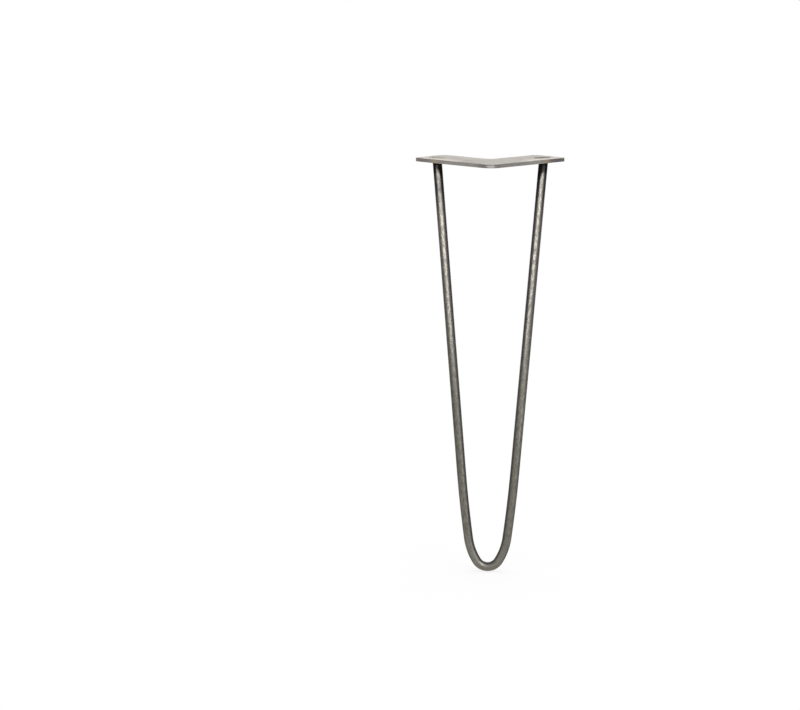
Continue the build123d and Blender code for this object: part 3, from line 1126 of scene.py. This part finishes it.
class LEG_OT_set_stage(bpy.types.Operator):
    """Set the white floor, the cards that the steel reflects, the lamps and the camera"""

    bl_idname = "leg.set_stage"
    bl_label = "Set Stage"
    bl_options = {"REGISTER", "UNDO"}

    NO_TURN = (0.0, 0.0, 0.0)
    UPRIGHT = (pi / 2, 0.0, 0.0)
    CARD_LIFT = 0.002
    EVEN = (-1.0, 1.0)

    FLOOR_SIZE = 16.0
    FLOOR_ROUGHNESS = 0.9
    FLOOR_FADE = (0.46, 0.85)
    FLOOR_LIFT = 0.86
    FILL_LEVEL = 0.5

    SCREEN = {"radius": 3.2, "depth": 8.0, "vertices": 48}
    SCREEN_PLACE = (0.0, 1.0, CAD_LOW.z)
    SCREEN_TONE = (0.94, 0.89, 1.0)
    SCREEN_FADE = (-2.0, 2.2)
    SCREEN_BACK = 0.25

    RING = {"radius": 0.36, "depth": 0.275, "vertices": 64}
    RING_BACK = 0.15
    RING_RIGHT = 0.08
    RING_FADE = (-0.34, 0.0)

    # Flat cards: place, turn, size and tone, then the settings of their levels at the two ends of a span
    FLAT_CARDS = (
        # A mat on the floor round the leg, darker to the sides than in front
        ("grey_mat", (0.0, -0.9, CAD_LOW.z + CARD_LIFT), NO_TURN, (6.4, 4.2, 1.0), WARM_WHITE,
         "mat_level", "side_level", (-0.12, 0.15)),
        # A small dark card where the foot stands, for the shade that its underside reflects
        ("foot_shade", (0.0, 0.012, CAD_LOW.z + 2 * CARD_LIFT), NO_TURN, (0.09, 0.05, 1.0), WARM_WHITE,
         "foot_level", "foot_level", EVEN),
        # The long bright card in front, which draws the light line down the upper half of the bar
        ("strip_card", (-0.035, -0.74, -0.0420), UPRIGHT, (0.96, 1.0, 0.220), (1.0, 0.975, 0.99),
         "strip_level", "strip_level", EVEN),
        # A low pale card at the right, which draws a faint second line down the lower half of the bar
        ("low_card", (0.42, -0.46, -0.34), (pi / 2, 0.0, radians(42.0)), (0.30, 0.30, 0.16), WARM_WHITE,
         "low_level", "low_level", EVEN),
    )

    KEY_LAMP = {"location": (1.232, -1.435, 1.012), "rotation": (radians(55.0), 0.0, radians(40.0)),
                "size": (0.968, 0.616)}
    TOP_LAMP = {"location": (0.0, 0.6, 2.6), "rotation": (radians(-12.0), 0.0, 0.0), "size": (2.4, 2.0)}
    SENSOR_WIDTH = 36.0

    def execute(self, context):
        """Set everything that stands round the leg."""
        scene = context.scene
        stage = scene.leg_stage
        scene.view_settings.view_transform = "Standard"
        self.lay_floor(stage)
        self.hang_screen(stage)
        self.stand_ring(stage)
        self.set_flat_cards(stage)
        self.light_world(scene)
        self.add_lamp("key_lamp", stage.key_level, **self.KEY_LAMP)
        top = self.add_lamp("top_lamp", stage.top_level, **self.TOP_LAMP)
        top.visible_glossy = False
        self.place_camera(scene, stage)
        return {"FINISHED"}

    def lay_floor(self, stage):
        """A white floor that keeps the leg's shadow, fades to pure white, and is clear from below."""
        floor = start_shape(bpy.ops.mesh.primitive_plane_add, size=self.FLOOR_SIZE,
                            location=(0.0, 0.0, CAD_LOW.z))
        floor.name = "floor"
        material, wire = blank_material("White Floor")
        lit = wire.add("ShaderNodeBsdfPrincipled", {
            "Base Color": stage.floor_colour,
            "Roughness": self.FLOOR_ROUGHNESS,
            "Specular IOR Level": 0.0,
        }).outputs[0]
        glow = wire.add("ShaderNodeEmission", {"Color": WHITE, "Strength": 1.0}).outputs[0]
        far = wire.vector("LENGTH", wire.add("ShaderNodeTexCoord").outputs["Object"])
        lift = wire.times(seen_rays(wire), wire.remap(far, self.FLOOR_FADE, (self.FLOOR_LIFT, 1.0)))
        white = wire.add("ShaderNodeMixShader", {0: lift, 1: lit, 2: glow}).outputs[0]
        below = wire.add("ShaderNodeNewGeometry").outputs["Backfacing"]
        clear = wire.add("ShaderNodeBsdfTransparent").outputs[0]
        wire.show(wire.add("ShaderNodeMixShader", {0: below, 1: white, 2: clear}).outputs[0])
        floor.data.materials.append(material)

    def hang_screen(self, stage):
        """A grey arch over the leg, open to the front and the back, and darker at the back."""
        screen = start_shape(bpy.ops.mesh.primitive_cylinder_add, end_fill_type="NOTHING",
                             location=self.SCREEN_PLACE, rotation=self.UPRIGHT, **self.SCREEN)
        with editing(screen):
            saw_off((0.0, 0.0, CAD_LOW.z + self.CARD_LIFT), (0.0, 0.0, -1.0))
        levels = (stage.screen_level, stage.screen_level * self.SCREEN_BACK)
        self.show_in_reflections(screen, "grey_screen", self.SCREEN_TONE, levels, self.SCREEN_FADE)

    def stand_ring(self, stage):
        """A low grey card bent round the front of the leg, which keeps the strip's light off the foot."""
        middle = CAD_LOW.z + self.RING["depth"] / 2
        ring = start_shape(bpy.ops.mesh.primitive_cylinder_add, end_fill_type="NOTHING",
                           location=(0.0, 0.0, middle), **self.RING)
        for point, outwards in (((0.0, self.RING_BACK, 0.0), (0.0, 1.0, 0.0)),
                                ((self.RING_RIGHT, 0.0, 0.0), (1.0, 0.0, 0.0))):
            with editing(ring):
                saw_off(point, outwards)
        levels = (stage.mat_level, stage.side_level)
        self.show_in_reflections(ring, "grey_ring", WARM_WHITE, levels, self.RING_FADE)

    def set_flat_cards(self, stage):
        """Set the flat cards, each turned on its middle and then brought to its size."""
        for name, place, rotation, size, tone, front, back, span in self.FLAT_CARDS:
            card = start_shape(bpy.ops.mesh.primitive_plane_add, size=1.0, location=place,
                               rotation=rotation)
            with editing(card):
                bpy.ops.transform.resize(value=size, center_override=place)
            levels = (getattr(stage, front), getattr(stage, back))
            self.show_in_reflections(card, name, tone, levels, span)

    def show_in_reflections(self, card, name, tone, levels, span):
        """Give a card a glow that only reflections see, with one level at each end of a span along Y."""
        card.name = name
        material, wire = blank_material(name)
        material.cycles.emission_sampling = "NONE"
        depth = wire.split(wire.add("ShaderNodeTexCoord").outputs["Object"])[1]
        glow = wire.add("ShaderNodeEmission", {"Color": tone, "Strength": wire.remap(depth, span, levels)})
        wire.show(glow.outputs[0])
        card.data.materials.append(material)
        card.visible_camera = False
        card.visible_diffuse = False
        card.visible_transmission = False
        card.visible_shadow = False

    def light_world(self, scene):
        """White to the camera and in reflections; a softer level for the light that it gives."""
        world = bpy.data.worlds.new("White Studio")
        world.use_nodes = True
        world.node_tree.nodes.clear()
        wire = Wiring(world.node_tree)
        strength = wire.math("MULTIPLY_ADD", seen_rays(wire), 1.0 - self.FILL_LEVEL, self.FILL_LEVEL)
        background = wire.add("ShaderNodeBackground", {"Color": WHITE, "Strength": strength})
        wire.show(background.outputs[0], "ShaderNodeOutputWorld")
        scene.world = world

    def add_lamp(self, name, brightness, location, rotation, size):
        """A rectangular softbox whose face has the given brightness."""
        bpy.ops.object.light_add(type="AREA", location=location, rotation=rotation)
        lamp = bpy.context.object
        lamp.name = name
        lamp.data.shape = "RECTANGLE"
        lamp.data.size, lamp.data.size_y = size
        lamp.data.energy = brightness * pi * size[0] * size[1]
        lamp.visible_camera = False
        return lamp

    def place_camera(self, scene, stage):
        """A camera that yaws about the upright, then pitches, then rolls about its own axis."""
        bpy.ops.object.camera_add(location=stage.camera_place)
        camera = bpy.context.object
        camera.name = "camera"
        aim = (Euler((0.0, 0.0, stage.camera_yaw)).to_matrix()
               @ Euler((pi / 2 + stage.camera_pitch, 0.0, 0.0)).to_matrix()
               @ Euler((0.0, 0.0, stage.camera_roll)).to_matrix())
        camera.rotation_euler = aim.to_euler()
        camera.data.sensor_width = self.SENSOR_WIDTH
        camera.data.lens = stage.camera_lens
        scene.camera = camera


class LEG_PT_build(bpy.types.Panel):
    """Sizes, colours and building steps of the leg"""

    bl_label = "Hairpin Leg"
    bl_idname = "LEG_PT_build"
    bl_space_type = "VIEW_3D"
    bl_region_type = "UI"
    bl_category = "Hairpin Leg"

    def draw(self, context):
        """One box for each building step, with its button above its settings."""
        for name, _, operator in STEPS:
            box = self.layout.box()
            box.operator(operator.bl_idname)
            settings = getattr(context.scene, name)
            for setting in settings.__annotations__:
                box.prop(settings, setting)


STEPS = (
    ("leg_plate", LEG_PG_plate, LEG_OT_cut_plate),
    ("leg_bar", LEG_PG_bar, LEG_OT_bend_bar),
    ("leg_welds", LEG_PG_welds, LEG_OT_lay_welds),
    ("leg_stage", LEG_PG_stage, LEG_OT_set_stage),
)


def register():
    """Make the settings, the building steps and the panel known."""
    for name, settings, operator in STEPS:
        bpy.utils.register_class(settings)
        setattr(bpy.types.Scene, name, PointerProperty(type=settings))
        bpy.utils.register_class(operator)
    bpy.utils.register_class(LEG_PT_build)


def unregister():
    """Take the panel, the building steps and the settings away again."""
    bpy.utils.unregister_class(LEG_PT_build)
    for name, settings, operator in reversed(STEPS):
        bpy.utils.unregister_class(operator)
        delattr(bpy.types.Scene, name)
        bpy.utils.unregister_class(settings)


def main():
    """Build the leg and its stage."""
    register()
    bpy.ops.leg.cut_plate()
    bpy.ops.leg.bend_bar()
    bpy.ops.leg.lay_welds()
    bpy.ops.leg.set_stage()


if __name__ == "__main__":
    main()
